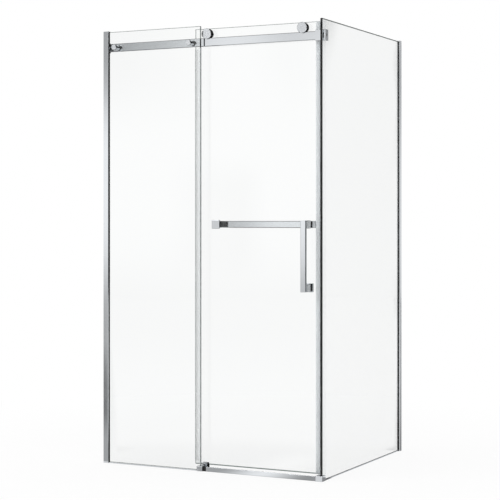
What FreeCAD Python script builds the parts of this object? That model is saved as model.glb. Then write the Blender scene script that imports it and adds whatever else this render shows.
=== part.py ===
"""Corner shower enclosure: a fixed glass panel and a sliding glass door along the front, and a glass
return panel along the right side. The door hangs from a flat rail on two grooved rollers.

Millimetres. +X runs along the front towards the return panel, +Y from the front towards the back wall
and +Z up. The origin is on the floor, at the middle of the enclosure's plan.
"""
import FreeCAD
import Part
import os
import re

import Sketcher

# Driving dimensions, in millimetres unless the name says otherwise.
SIZES = {
    # Overall
    "front_width": 1067,
    "return_depth": 914,
    "overall_height": 1930,
    "cut_overrun": 2,
    "fit_clearance": 0.05,
    # Glass
    "glass_thick": 10,
    "glass_bevel": 2,
    "glass_hole_radius": 7,
    "glass_to_wall": 10,
    "door_opening": 576,
    "return_setback": 2,
    "strip_height": 4,
    # Wall profiles
    "profile_depth": 25,
    "profile_width": 20,
    "profile_wall": 2.5,
    "profile_round": 1.5,
    "profile_cap_thick": 3,
    "gasket_depth": 10,
    "wall_screw_radius": 2.75,
    "outer_screw_inset": 83.5,
    "inner_screw_spread": 600,
    # Rail and the bolts that hold it to the fixed panel
    "rail_gap": 12,
    "rail_thick": 12,
    "rail_height": 36,
    "rail_drop": 51,
    "rail_bevel": 2.2,
    "bolt_inset": 56,
    "bolt_cap_radius": 12.5,
    "bolt_cap_thick": 9,
    "cap_bevel": 1,
    "spacer_radius": 9,
    "stud_radius": 4,
    "stud_bite": 5,
    "pad_thick": 1,
    "pad_radius": 11,
    # Brackets at the rail's two ends
    "wall_bracket_length": 15,
    "wall_bracket_side": 3,
    "wall_bracket_rise": 4,
    "bracket_side": 5,
    "bracket_rise": 5,
    "bracket_web": 6,
    "bracket_length": 28,
    "bracket_round": 1.5,
    "bracket_plate_thick": 8,
    "bracket_plate_length": 30,
    "rail_play": 0.2,
    "bolt_head_radius": 6.5,
    "bolt_head_thick": 4,
    "set_screw_radius": 3,
    "socket_radius": 1.7,
    "socket_depth": 2.5,
    # Door
    "door_gap": 10,
    "door_clearance": 30,
    "door_drop": 7,
    "door_lift": 22,
    # Rollers and their bearings
    "roller_inset": 69,
    "tread_radius": 18,
    "flange_radius": 22.4,
    "front_flange": 5.8,
    "rear_flange": 3,
    "side_play": 0.6,
    "rolling_clearance": 0.3,
    "wheel_lip_radius": 9,
    "cover_radius": 23,
    "cover_thick": 2.6,
    "cover_bevel": 1.2,
    "spigot_wall": 1.7,
    "bearing_radius": 11,
    "bearing_width": 7,
    "bearing_setback": 9,
    "race_wall": 1.85,
    "ball_radius": 2,
    "ball_clearance": 0.1,
    "axle_shoulder_radius": 6.5,
    "axle_flange_thick": 2.4,
    "axle_tip": 0.8,
    "ring_thick": 1.2,
    "ring_wall": 2.3,
    "nut_radius": 12.5,
    "nut_thick": 10,
    # Pull handle outside and towel bar inside
    "handle_inset": 53,
    "handle_reach": 55,
    "handle_width": 24,
    "handle_thick": 14,
    "handle_length": 300,
    "handle_bottom": 785,
    "handle_round": 2.5,
    "post_height": 34,
    "towel_span": 438,
    "towel_height": 29,
    "towel_thick": 12,
    "towel_bevel": 2.5,
    "towel_post_length": 28,
    "towel_post_width": 34,
    "square_cap_side": 38,
    "square_cap_thick": 7,
    "pull_stud_bite": 18,
    # Seals
    "seal_wall": 1.2,
    "seal_leg": 12,
    "fin_lean": 12,
    "fin_reach": 18,
    "fin_gap": 2,
    "leading_leg": 18,
    "closing_gap": 0.9,
    "seal_end_gap": 4,
    # Floor fittings
    "guide_width": 27,
    "guide_front_overhang": 8,
    "guide_front_height": 22,
    "guide_front_length": 28,
    "guide_rear_height": 31,
    "guide_bridge_height": 10,
    "guide_wall": 5,
    "guide_floor": 12,
    "guide_round": 1,
    "guide_grip": 14,
    "liner_wall": 2,
    "liner_play": 0.6,
    "slot_play": 0.2,
    "sill_width": 14,
    "sill_height": 20,
    "sill_back_height": 13,
    "sill_ledge": 7,
    "sill_round": 0.8,
    "sill_end_length": 15,
    "block_inner": 28,
    "block_outer": 3,
    "block_front": 8,
    "block_length": 38,
    "block_height": 24,
}

# Counts and angles that are not lengths.
BALL_COUNT = 8
FULL_TURN = 360
QUARTER_TURN = 90
HALF_TURN = 180
HEX_SIDES = 6

# Places worked out from the driving dimensions.
PLACES = {
    "outer_reach": "pad_thick + bracket_plate_thick",
    "rail_stack": "glass_thick + rail_gap + rail_thick + door_gap",
    "front_reach": "handle_reach - rail_stack",
    "wall_x": "-(front_width + outer_reach) / 2",
    "corner_x": "wall_x + front_width",
    "return_x": "corner_x - glass_thick",
    "front_y": "(front_reach - return_depth) / 2",
    "back_y": "front_y + return_depth",
    "return_y": "front_y + return_setback",
    "glass_top": "overall_height - profile_cap_thick",
    "fixed_left_x": "wall_x + glass_to_wall",
    "fixed_edge_x": "corner_x - door_opening",
    "rail_y": "front_y + glass_thick + rail_gap",
    "rail_back_y": "rail_y + rail_thick",
    "rail_mid_y": "rail_y + rail_thick / 2",
    "rail_top": "glass_top - rail_drop",
    "rail_bottom": "rail_top - rail_height",
    "rail_mid": "rail_top - rail_height / 2",
    "rail_end_x": "return_x - pad_thick - bracket_web",
    "bolt_left_x": "wall_x + bolt_inset",
    "bolt_right_x": "fixed_edge_x - bolt_inset",
    "door_y": "front_y + rail_stack",
    "door_back_y": "door_y + glass_thick",
    "fin_room": "rail_gap + rail_thick + door_gap - 2 * seal_wall",
    "door_overlap": "2 * seal_leg + fin_lean / fin_reach * fin_room + fin_gap",
    "door_left_x": "fixed_edge_x - door_overlap",
    "door_right_x": "corner_x - door_clearance",
    "door_top": "glass_top - door_drop",
    "roller_left_x": "door_left_x + roller_inset",
    "roller_right_x": "door_right_x - roller_inset",
    "roller_z": "rail_top + tread_radius + rolling_clearance",
    "wheel_y": "rail_y - side_play - front_flange",
    "wheel_width": "front_flange + rail_thick + 2 * side_play + rear_flange",
    "bearing_y": "wheel_y + bearing_setback",
    "bearing_back_y": "bearing_y + bearing_width",
    "ball_ring": "(bearing_radius + stud_radius) / 2",
    "axle_y": "bearing_y - ring_thick - axle_tip",
    "axle_flange_y": "door_y - pad_thick - axle_flange_thick",
    "handle_x": "door_right_x - handle_inset",
    "handle_y": "door_y - handle_reach",
    "towel_x": "handle_x - towel_span",
    "towel_y": "door_back_y + pad_thick + towel_post_length",
    "pull_top_z": "handle_bottom + handle_length - post_height / 2",
    "pull_low_z": "handle_bottom + post_height / 2",
    "guide_left_x": "fixed_edge_x - guide_grip",
    "guide_right_x": "guide_left_x + guide_width",
    "sill_left_x": "guide_right_x + sill_end_length",
    "guide_y": "front_y - guide_front_overhang",
    "liner_low_y": "door_y - liner_play - liner_wall",
    "liner_high_y": "door_back_y + liner_play + liner_wall",
    "block_left_x": "corner_x - block_inner",
    "block_back_y": "front_y - block_front + block_length",
}

doc = FreeCAD.newDocument("shower_enclosure")
sheet = doc.addObject("Spreadsheet::Sheet", "sizes")
nodes = []


def fill_sheet():
    """Write the driving dimensions into the sheet, each under its own alias."""
    for row, (name, number) in enumerate(SIZES.items(), start=1):
        sheet.set(f"A{row}", name)
        sheet.set(f"B{row}", str(number))
        sheet.setAlias(f"B{row}", name)
    doc.recompute()


def expand(formula):
    """The formula with places replaced by their own formulas and sizes by their cells."""

    def one_word(match):
        name = match.group()
        if name in PLACES:
            return f"({expand(PLACES[name])})"
        if name in SIZES:
            return f"sizes.{name}"
        return name

    return re.sub(r"[a-z_]+", one_word, formula)


def bind(piece, formulas):
    for prop, formula in formulas.items():
        piece.setExpression(prop, expand(formula))


def place(piece, x="0", y="0", z="0"):
    bind(piece, {"Placement.Base.x": x, "Placement.Base.y": y, "Placement.Base.z": z})


def node(label, piece):
    """Mark a finished piece as a sub-part of the enclosure, under its own name."""
    doc.recompute()
    piece.Label = label
    nodes.append(piece)
    return piece


def box(name, x, y, z):
    """A block between the low and high formulas given for each axis."""
    piece = doc.addObject("Part::Box", name)
    bind(
        piece,
        {
            "Length": f"({x[1]}) - ({x[0]})",
            "Width": f"({y[1]}) - ({y[0]})",
            "Height": f"({z[1]}) - ({z[0]})",
        },
    )
    place(piece, x[0], y[0], z[0])
    return piece


AXIS_TURNS = {
    "x": FreeCAD.Rotation(FreeCAD.Vector(0, 1, 0), QUARTER_TURN),
    "y": FreeCAD.Rotation(FreeCAD.Vector(1, 0, 0), -QUARTER_TURN),
    "z": FreeCAD.Rotation(),
}


def along(piece, axis, start, span):
    """Stand a round piece at its start point, along the axis, as long as the span formula."""
    piece.Placement.Rotation = AXIS_TURNS[axis]
    bind(piece, {"Height": span})
    place(piece, *start)
    return piece


def rod(name, axis, start, span, radius):
    piece = doc.addObject("Part::Cylinder", name)
    bind(piece, {"Radius": radius})
    return along(piece, axis, start, span)


def hex_socket(name, axis, start, span):
    piece = doc.addObject("Part::Prism", name)
    piece.Polygon = HEX_SIDES
    bind(piece, {"Circumradius": "socket_radius"})
    return along(piece, axis, start, span)


def compound(name, pieces):
    piece = doc.addObject("Part::Compound", name)
    piece.Links = pieces
    return piece


def cut(name, base, tools):
    """The base with every tool taken out of it. The tools have to remove some material."""
    piece = doc.addObject("Part::Cut", name)
    piece.Base = base
    piece.Tool = tools[0] if len(tools) == 1 else fuse(f"{name}_tools", tools)
    doc.recompute()
    if piece.Shape.Volume >= base.Shape.Volume:
        raise ValueError(f"{name} lost no material")
    return piece


def fuse(name, pieces):
    piece = doc.addObject("Part::MultiFuse", name)
    piece.Shapes = pieces
    return piece


def tube(name, axis, start, span, radius, bore):
    solid = rod(f"{name}_solid", axis, start, span, radius)
    hole = rod(f"{name}_hole", axis, start, span, bore)
    return cut(name, solid, [hole])


def edges_along(shape, direction):
    """Numbers of the straight edges parallel to a direction, or of every edge if none is given."""
    found = []
    for number, edge in enumerate(shape.Edges, start=1):
        if direction is None:
            found.append(number)
        elif edge.Curve.TypeId == "Part::GeomLine" and edge.tangentAt(0).cross(direction).Length < 1e-6:
            found.append(number)
    return found


def softened(name, kind, base, size_name, direction=None):
    """The base with its edges rounded (Part::Fillet) or bevelled (Part::Chamfer)."""
    doc.recompute()
    size = sheet.get(size_name)
    piece = doc.addObject(kind, name)
    piece.Base = base
    piece.Edges = [(number, size, size) for number in edges_along(base.Shape, direction)]
    return piece


def sketch_on(body, name, role, outlines):
    """A sketch of closed polygons on one of the body's own planes, every corner bound to its formulas."""
    sketch = body.newObject("Sketcher::SketchObject", name)
    plane = next(feature for feature in body.Origin.OriginFeatures if feature.Role == role)
    sketch.AttachmentSupport = (plane, [""])
    sketch.MapMode = "FlatFace"
    for outline in outlines:
        add_polygon(sketch, outline)
    return sketch


def add_polygon(sketch, outline):
    first = sketch.GeometryCount
    count = len(outline)
    turn = FreeCAD.Rotation(FreeCAD.Vector(0, 0, 1), FULL_TURN / count)
    start = FreeCAD.Vector(sheet.get("profile_width"), 0, 0)
    for _ in outline:
        end = turn.multVec(start)
        sketch.addGeometry(Part.LineSegment(start, end), False)
        start = end
    for corner, (across, up) in enumerate(outline):
        line = first + corner
        before = first + (corner - 1) % count
        sketch.addConstraint(Sketcher.Constraint("Coincident", before, 2, line, 1))
        for kind, formula in (("DistanceX", across), ("DistanceY", up)):
            index = sketch.addConstraint(Sketcher.Constraint(kind, -1, 1, line, 1, 1.0))
            sketch.setExpression(f"Constraints[{index}]", expand(formula))


def padded_body(name, role, outlines, length):
    """A body padded from a section along its sketch plane's normal."""
    body = doc.addObject("PartDesign::Body", name)
    sketch = sketch_on(body, f"{name}_section", role, outlines)
    pad = body.newObject("PartDesign::Pad", f"{name}_pad")
    pad.Profile = sketch
    bind(pad, {"Length": length})
    doc.recompute()
    return body


def turned_body(name, outline):
    """A body turned about its own Y axis from an outline of (radius, distance along Y) corners."""
    body = doc.addObject("PartDesign::Body", name)
    sketch = sketch_on(body, f"{name}_section", "XY_Plane", [outline])
    turned = body.newObject("PartDesign::Revolution", f"{name}_turned")
    turned.Profile = sketch
    turned.ReferenceAxis = (sketch, ["V_Axis"])
    turned.Angle = FULL_TURN
    doc.recompute()
    return body


def wall_profile(label, x, y, turn):
    """A U channel against the wall, open towards its panel, with screw holes through its web."""
    outline = [
        ("0", "0"),
        ("profile_depth", "0"),
        ("profile_depth", "profile_wall"),
        ("profile_wall", "profile_wall"),
        ("profile_wall", "profile_width - profile_wall"),
        ("profile_depth", "profile_width - profile_wall"),
        ("profile_depth", "profile_width"),
        ("0", "profile_width"),
    ]
    body = padded_body(label, "XY_Plane", [outline], "glass_top")
    solid_volume = body.Shape.Volume
    holes = sketch_on(body, f"{label}_hole_centres", "YZ_Plane", [])
    heights = ["outer_screw_inset", "glass_top - outer_screw_inset"]
    heights += [f"(glass_top {side} inner_screw_spread) / 2" for side in ("-", "+")]
    for height in heights:
        add_circle(holes, "profile_width / 2", height)
    pocket = body.newObject("PartDesign::Pocket", f"{label}_screw_holes")
    pocket.Profile = holes
    pocket.Reversed = True
    bind(pocket, {"Length": "profile_wall"})
    doc.recompute()
    if body.Shape.Volume >= solid_volume:
        raise ValueError(f"{label} has no screw holes")
    rounds = body.newObject("PartDesign::Fillet", f"{label}_rounds")
    lips = [f"Edge{number}" for number in lip_edges(pocket.Shape)]
    rounds.Base = (pocket, lips)
    bind(rounds, {"Radius": "profile_round"})
    body.Placement.Rotation = FreeCAD.Rotation(FreeCAD.Vector(0, 0, 1), turn)
    place(body, x, y)
    return node(label, body)


def add_circle(sketch, across, up):
    index = sketch.addGeometry(Part.Circle(), False)
    radius = sketch.addConstraint(Sketcher.Constraint("Radius", index, 1.0))
    sketch.setExpression(f"Constraints[{radius}]", expand("wall_screw_radius"))
    for kind, formula in (("DistanceX", across), ("DistanceY", up)):
        found = sketch.addConstraint(Sketcher.Constraint(kind, -1, 1, index, 3, 1.0))
        sketch.setExpression(f"Constraints[{found}]", expand(formula))


def lip_edges(shape):
    """The two outer edges that run up the open side of a wall profile."""
    found = []
    upright = FreeCAD.Vector(0, 0, 1)
    for number in edges_along(shape, upright):
        middle = shape.Edges[number - 1].CenterOfMass
        at_lip = abs(middle.x - sheet.get("profile_depth")) < 1e-6
        at_side = min(abs(middle.y), abs(middle.y - sheet.get("profile_width"))) < 1e-6
        if at_lip and at_side:
            found.append(number)
    return found


def wall_fixings():
    """Wall profiles with their end caps and the gasket strips that grip the glass."""
    half = "(profile_width - glass_thick) / 2"
    wall_profile("wall_profile_left", "wall_x", f"front_y - {half}", 0)
    wall_profile("wall_profile_back", f"return_x - {half}", "back_y", -QUARTER_TURN)
    top = ("glass_top", "overall_height")
    across_front = (f"front_y - {half}", f"front_y + glass_thick + {half}")
    across_return = (f"return_x - {half}", f"corner_x + {half}")
    caps = {
        "profile_cap_left": box("cap_left", ("wall_x", "wall_x + profile_depth"), across_front, top),
        "profile_cap_back": box("cap_back", across_return, ("back_y - profile_depth", "back_y"), top),
    }
    for label, blank in caps.items():
        node(label, softened(label, "Part::Fillet", blank, "cap_bevel", FreeCAD.Vector(0, 0, 1)))
    upright = ("0", "glass_top")
    inside = f"{half} - profile_wall"
    mouth = ("wall_x + profile_depth - gasket_depth", "wall_x + profile_depth")
    outer = box("gasket_left_outer", mouth, (f"front_y - ({inside})", "front_y"), upright)
    behind = ("front_y + glass_thick", f"front_y + glass_thick + {inside}")
    inner = box("gasket_left_inner", mouth, behind, upright)
    node("wall_gaskets_left", compound("wall_gaskets_left", [outer, inner]))
    mouth = ("back_y - profile_depth", "back_y - profile_depth + gasket_depth")
    outer = box("gasket_back_outer", ("corner_x", f"corner_x + {inside}"), mouth, upright)
    inner = box("gasket_back_inner", (f"return_x - ({inside})", "return_x"), mouth, upright)
    node("wall_gaskets_back", compound("wall_gaskets_back", [outer, inner]))


def glass_pane(label, x, y, z, holes):
    """A pane with bevelled edges and round holes through it."""
    blank = box(f"{label}_blank", x, y, z)
    bevelled = softened(f"{label}_bevelled", "Part::Chamfer", blank, "glass_bevel")
    return node(label, cut(label, bevelled, holes))


def hole_through(name, axis, start):
    """A hole through a pane of glass, from the pane's near face."""
    return rod(name, axis, start, "glass_thick", "glass_hole_radius")


def panels():
    """The two fixed panes, each on a thin metal strip that keeps it off the floor."""
    bolt_holes = [
        hole_through(f"fixed_hole_{side}", "y", (f"bolt_{side}_x", "front_y", "rail_mid"))
        for side in ("left", "right")
    ]
    pane_y = ("front_y", "front_y + glass_thick")
    pane_z = ("strip_height", "glass_top")
    glass_pane("fixed_panel_glass", ("fixed_left_x", "fixed_edge_x"), pane_y, pane_z, bolt_holes)
    pane_x = ("return_x", "corner_x")
    bracket_hole = hole_through("return_hole", "x", ("return_x", "rail_mid_y", "rail_mid"))
    return_span = ("return_y", "back_y - glass_to_wall")
    glass_pane("return_panel_glass", pane_x, return_span, pane_z, [bracket_hole])
    strip_z = ("0", "strip_height")
    strip_x = ("fixed_left_x", "guide_left_x")
    strip = box("fixed_panel_bottom_strip", strip_x, pane_y, strip_z)
    node("fixed_panel_bottom_strip", strip)
    strip_span = ("block_back_y", "back_y - glass_to_wall")
    node("return_panel_bottom_strip", box("return_panel_bottom_strip", pane_x, strip_span, strip_z))


def capped_rod(name, axis, start, span, radius):
    """A short round cap with bevelled rims."""
    blank = rod(f"{name}_blank", axis, start, span, radius)
    return softened(f"{name}_rim", "Part::Chamfer", blank, "cap_bevel")


def rail_and_bolts():
    """The flat rail and the two bolts that hold it behind the fixed panel."""
    rail_x = ("wall_x", "rail_end_x")
    blank = box("rail_blank", rail_x, ("rail_y", "rail_back_y"), ("rail_bottom", "rail_top"))
    rail = softened("rail_bevelled", "Part::Chamfer", blank, "rail_bevel", FreeCAD.Vector(1, 0, 0))
    groups = {"rail_bolts": [], "rail_bolt_caps": [], "rail_bolt_spacers": []}
    groups.update({"rail_bolt_bushes": [], "rail_bolt_pads": []})
    tapped = []
    for side in ("left", "right"):
        x = f"bolt_{side}_x"
        cap_y = "front_y - pad_thick - bolt_cap_thick"
        stud_y = "front_y - pad_thick - stud_bite"
        stud_span = "stud_bite + pad_thick + glass_thick + rail_gap + rail_thick"
        stud_hole = "stud_radius + fit_clearance"
        cap = capped_rod(f"bolt_cap_{side}", "y", (x, cap_y, "rail_mid"), "bolt_cap_thick", "bolt_cap_radius")
        blind = rod(f"bolt_blind_{side}", "y", (x, stud_y, "rail_mid"), "stud_bite", stud_hole)
        groups["rail_bolt_caps"].append(cut(f"rail_bolt_cap_{side}", cap, [blind]))
        stud = rod(f"rail_bolt_{side}", "y", (x, stud_y, "rail_mid"), stud_span, "stud_radius")
        groups["rail_bolts"].append(stud)
        spacer_y = "front_y + glass_thick + pad_thick"
        spacer = (f"rail_spacer_{side}", "y", (x, spacer_y, "rail_mid"), "rail_gap - pad_thick")
        groups["rail_bolt_spacers"].append(tube(*spacer, "spacer_radius", stud_hole))
        groups["rail_bolt_bushes"].append(glass_bush(f"rail_bush_{side}", "y", (x, "front_y", "rail_mid")))
        for face, face_y in (("outer", "front_y - pad_thick"), ("inner", "front_y + glass_thick")):
            radius = "pad_radius" if face == "outer" else "spacer_radius"
            pad = (f"rail_pad_{face}_{side}", "y", (x, face_y, "rail_mid"), "pad_thick", radius)
            groups["rail_bolt_pads"].append(tube(*pad, "glass_hole_radius"))
        tapped.append(rod(f"rail_tapped_{side}", "y", (x, "rail_y", "rail_mid"), "rail_thick", stud_hole))
    node("slide_rail", cut("slide_rail", rail, tapped))
    for label, pieces in groups.items():
        node(label, compound(label, pieces))


def glass_bush(name, axis, start):
    """A nylon sleeve that keeps a stud off the rim of its hole in the glass."""
    outer = "glass_hole_radius - fit_clearance"
    return tube(name, axis, start, "glass_thick", outer, "stud_radius + fit_clearance")


def set_screw(label, x, y, z, span):
    """A socket set screw that stands upright, its socket open downwards."""
    body = rod(f"{label}_body", "z", (x, y, z), span, "set_screw_radius")
    socket = hex_socket(f"{label}_socket", "z", (x, y, z), "socket_depth")
    return node(label, cut(label, body, [socket]))


def rail_socket(name, x, rail_x, screw_x, side, rise, extra_holes):
    """A block that holds one end of the rail, locked by a set screw from below."""
    block_y = (f"rail_y - {side}", f"rail_back_y + {side}")
    block_z = (f"rail_bottom - {rise}", f"rail_top + {rise}")
    blank = box(f"{name}_blank", x, block_y, block_z)
    rounded = softened(f"{name}_rounded", "Part::Fillet", blank, "bracket_round", FreeCAD.Vector(1, 0, 0))
    around_y = ("rail_y - rail_play", "rail_back_y + rail_play")
    around_z = ("rail_bottom - rail_play", "rail_top + rail_play")
    pocket = box(f"{name}_pocket", rail_x, around_y, around_z)
    screw_start = (screw_x, "rail_mid_y", f"rail_bottom - {rise}")
    tapped = rod(f"{name}_tapped", "z", screw_start, rise, "set_screw_radius + fit_clearance")
    node(name, cut(name, rounded, [pocket, tapped] + extra_holes))
    set_screw(f"{name}_set_screw", *screw_start, rise)


def rail_brackets():
    """The socket on the wall, and the corner bracket clamped through the return panel."""
    wall_x = ("wall_x", "wall_x + wall_bracket_length")
    past_wall = ("wall_x - cut_overrun", "wall_x + wall_bracket_length + cut_overrun")
    wall_walls = ("wall_bracket_side", "wall_bracket_rise")
    rail_socket("rail_wall_bracket", wall_x, past_wall, "wall_x + wall_bracket_length / 2", *wall_walls, [])
    inner_face = "return_x - pad_thick"
    block_x = (f"{inner_face} - bracket_length", inner_face)
    past_end = (f"{inner_face} - bracket_length - cut_overrun", "rail_end_x + rail_play")
    screw_x = f"{inner_face} - (bracket_length + bracket_web) / 2"
    web_start = ("rail_end_x", "rail_mid_y", "rail_mid")
    shank_hole = "stud_radius + fit_clearance"
    web_hole = rod("corner_web_hole", "x", web_start, "bracket_web", shank_hole)
    rail_socket("corner_bracket", block_x, past_end, screw_x, "bracket_side", "bracket_rise", [web_hole])
    plate_x = ("corner_x + pad_thick", "corner_x + outer_reach")
    plate_y = ("rail_mid_y - bracket_plate_length / 2", "rail_mid_y + bracket_plate_length / 2")
    plate_z = ("rail_bottom - bracket_rise", "rail_top + bracket_rise")
    blank = box("plate_blank", plate_x, plate_y, plate_z)
    plate = softened("plate_rounded", "Part::Fillet", blank, "bracket_round", FreeCAD.Vector(1, 0, 0))
    plate_start = ("corner_x + pad_thick", "rail_mid_y", "rail_mid")
    shank = rod("plate_shank_hole", "x", plate_start, "bracket_plate_thick", shank_hole)
    head_start = ("corner_x + outer_reach - bolt_head_thick", "rail_mid_y", "rail_mid")
    recess = rod("plate_recess", "x", head_start, "bolt_head_thick", "bolt_head_radius + rail_play")
    node("corner_bracket_plate", cut("corner_bracket_plate", plate, [shank, recess]))
    shank_span = "bracket_web - rail_play + 2 * pad_thick + glass_thick + bracket_plate_thick"
    bolt_start = ("rail_end_x + rail_play", "rail_mid_y", "rail_mid")
    body = rod("corner_bolt_shank", "x", bolt_start, shank_span, "stud_radius")
    head = rod("corner_bolt_head", "x", head_start, "bolt_head_thick", "bolt_head_radius")
    socket_start = ("corner_x + outer_reach - socket_depth", "rail_mid_y", "rail_mid")
    socket = hex_socket("corner_bolt_socket", "x", socket_start, "socket_depth")
    node("corner_bracket_bolt", cut("corner_bracket_bolt", fuse("corner_bolt", [body, head]), [socket]))
    bush = glass_bush("corner_bracket_bush", "x", ("return_x", "rail_mid_y", "rail_mid"))
    node("corner_bracket_bush", bush)
    pads = []
    for face, x in (("inner", inner_face), ("outer", "corner_x")):
        pad = (f"corner_pad_{face}", "x", (x, "rail_mid_y", "rail_mid"), "pad_thick", "pad_radius")
        pads.append(tube(*pad, "glass_hole_radius"))
    node("corner_bracket_pads", compound("corner_bracket_pads", pads))


def floor_fittings():
    """The sill with its end seal, the guide that steers the door's foot and the block at the outer corner."""
    block_x = ("block_left_x", "corner_x + block_outer")
    block_y = ("front_y - block_front", "block_back_y")
    blank = box("block_blank", block_x, block_y, ("0", "block_height"))
    block = softened("block_rounded", "Part::Fillet", blank, "guide_round")
    slot_x = ("return_x - slot_play", "corner_x + slot_play")
    slot_y = ("return_y - slot_play", "block_back_y + cut_overrun")
    slot = box("block_slot", slot_x, slot_y, ("strip_height", "block_height + cut_overrun"))
    node("bottom_corner_block", cut("bottom_corner_block", block, [slot]))
    section = [
        ("0", "0"),
        ("sill_width", "0"),
        ("sill_width", "sill_back_height"),
        ("sill_ledge", "sill_height"),
        ("0", "sill_height"),
    ]
    lengths = {
        "threshold_sill": ("sill_left_x", "block_left_x - sill_left_x"),
        "sill_end_seal": ("guide_right_x", "sill_end_length"),
    }
    for name, (start_x, length) in lengths.items():
        bar = padded_body(f"{name}_bar", "YZ_Plane", [section], length)
        place(bar, start_x, "front_y")
        node(name, softened(name, "Part::Fillet", bar, "sill_round", FreeCAD.Vector(1, 0, 0)))
    door_guide()


def door_guide():
    """A block that grips the fixed pane's corner and carries a nylon channel for the door's foot."""
    x = ("guide_left_x", "guide_right_x")
    front_y = ("guide_y", "guide_y + guide_front_length")
    rear_y = ("liner_low_y - guide_wall", "liner_high_y + guide_wall")
    front = box("guide_front", x, front_y, ("0", "guide_front_height"))
    bridge_y = ("guide_y + guide_front_length / 2", "liner_low_y")
    bridge = box("guide_bridge", x, bridge_y, ("0", "guide_bridge_height"))
    rear = box("guide_rear", x, rear_y, ("0", "guide_rear_height"))
    rounded = [softened(f"{piece.Name}_rounded", "Part::Fillet", piece, "guide_round") for piece in (front, rear)]
    blank = fuse("guide_blank", rounded + [bridge])
    pane_x = ("guide_left_x - cut_overrun", "fixed_edge_x + slot_play")
    pane_y = ("front_y - slot_play", "front_y + glass_thick + slot_play")
    pane_slot = box("guide_pane_slot", pane_x, pane_y, ("strip_height", "guide_front_height + cut_overrun"))
    past_x = ("guide_left_x - cut_overrun", "guide_right_x + cut_overrun")
    liner_z = ("guide_floor", "guide_rear_height + cut_overrun")
    liner_slot = box("guide_liner_slot", past_x, ("liner_low_y", "liner_high_y"), liner_z)
    screw_x = "fixed_edge_x - guide_grip / 2"
    screw_z = "(strip_height + guide_front_height) / 2"
    screw_y = "front_y + glass_thick + slot_play"
    screw_span = "guide_front_length - guide_front_overhang - glass_thick - slot_play"
    tapped = rod("guide_tapped", "y", (screw_x, screw_y, screw_z), screw_span, "set_screw_radius + fit_clearance")
    node("door_guide_block", cut("door_guide_block", blank, [pane_slot, liner_slot, tapped]))
    screw = rod("guide_screw_body", "y", (screw_x, screw_y, screw_z), screw_span, "set_screw_radius")
    socket_y = f"{screw_y} + {screw_span} - socket_depth"
    socket = hex_socket("guide_screw_socket", "y", (screw_x, socket_y, screw_z), "socket_depth")
    node("door_guide_set_screw", cut("door_guide_set_screw", screw, [socket]))
    liner = box("liner_blank", x, ("liner_low_y", "liner_high_y"), ("guide_floor", "guide_rear_height"))
    channel_y = ("door_y - liner_play", "door_back_y + liner_play")
    channel_z = ("guide_floor + liner_wall", "guide_rear_height + cut_overrun")
    channel = box("liner_channel", past_x, channel_y, channel_z)
    node("door_guide_liner", cut("door_guide_liner", liner, [channel]))


def edge_seal_outline():
    """A U that clips over a glass edge, with a slanted fin off its far leg."""
    far = "2 * seal_wall + glass_thick"
    return [
        ("fin_lean", "0"),
        ("fin_lean + seal_leg + seal_wall", "0"),
        ("fin_lean + seal_leg + seal_wall", far),
        ("fin_lean + seal_wall", far),
        ("seal_wall", f"{far} + fin_reach"),
        ("0", f"{far} + fin_reach"),
        ("fin_lean", far),
        ("fin_lean", "seal_wall + glass_thick"),
        ("fin_lean + seal_leg", "seal_wall + glass_thick"),
        ("fin_lean + seal_leg", "seal_wall"),
        ("fin_lean", "seal_wall"),
    ]


def leading_seal_outline():
    """A U that clips over the door's leading edge, with a fin that reaches to the return panel."""
    edge = "leading_leg + seal_wall"
    far = "2 * seal_wall + glass_thick"
    tip = f"{edge} + door_clearance - glass_thick - seal_wall - closing_gap"
    low = f"({far} - seal_wall) / 2"
    high = f"({far} + seal_wall) / 2"
    return [
        ("0", "0"),
        (edge, "0"),
        (edge, low),
        (tip, low),
        (tip, high),
        (edge, high),
        (edge, far),
        ("0", far),
        ("0", "seal_wall + glass_thick"),
        ("leading_leg", "seal_wall + glass_thick"),
        ("leading_leg", "seal_wall"),
        ("0", "seal_wall"),
    ]


def seals():
    """The clear strips between the panes. The two finned ones stop below the rail."""
    low = "guide_rear_height + seal_end_gap"
    high = "rail_bottom - bracket_rise - seal_end_gap"
    span = f"{high} - ({low})"
    fixed = padded_body("fixed_panel_edge_seal", "XY_Plane", [edge_seal_outline()], span)
    place(fixed, "fixed_edge_x - seal_leg - fin_lean", "front_y - seal_wall", low)
    node("fixed_panel_edge_seal", fixed)
    trailing = padded_body("door_trailing_seal", "XY_Plane", [edge_seal_outline()], span)
    trailing.Placement.Rotation = FreeCAD.Rotation(FreeCAD.Vector(0, 0, 1), HALF_TURN)
    place(trailing, "door_left_x + seal_leg + fin_lean", "door_back_y + seal_wall", low)
    node("door_trailing_seal", trailing)
    leading = padded_body("door_leading_seal", "XY_Plane", [leading_seal_outline()], "door_top - door_lift")
    place(leading, "door_right_x - leading_leg", "door_y - seal_wall", "door_lift")
    node("door_leading_seal", leading)


def door_pane():
    """The sliding pane, drilled for its rollers, handle and towel bar."""
    spots = {
        "roller_left": ("roller_left_x", "roller_z"),
        "roller_right": ("roller_right_x", "roller_z"),
        "pull_top": ("handle_x", "pull_top_z"),
        "pull_low": ("handle_x", "pull_low_z"),
        "towel": ("towel_x", "pull_top_z"),
    }
    holes = [hole_through(f"door_hole_{name}", "y", (x, "door_y", z)) for name, (x, z) in spots.items()]
    pane_x = ("door_left_x", "door_right_x")
    glass_pane("door_glass", pane_x, ("door_y", "door_back_y"), ("door_lift", "door_top"), holes)


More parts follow.
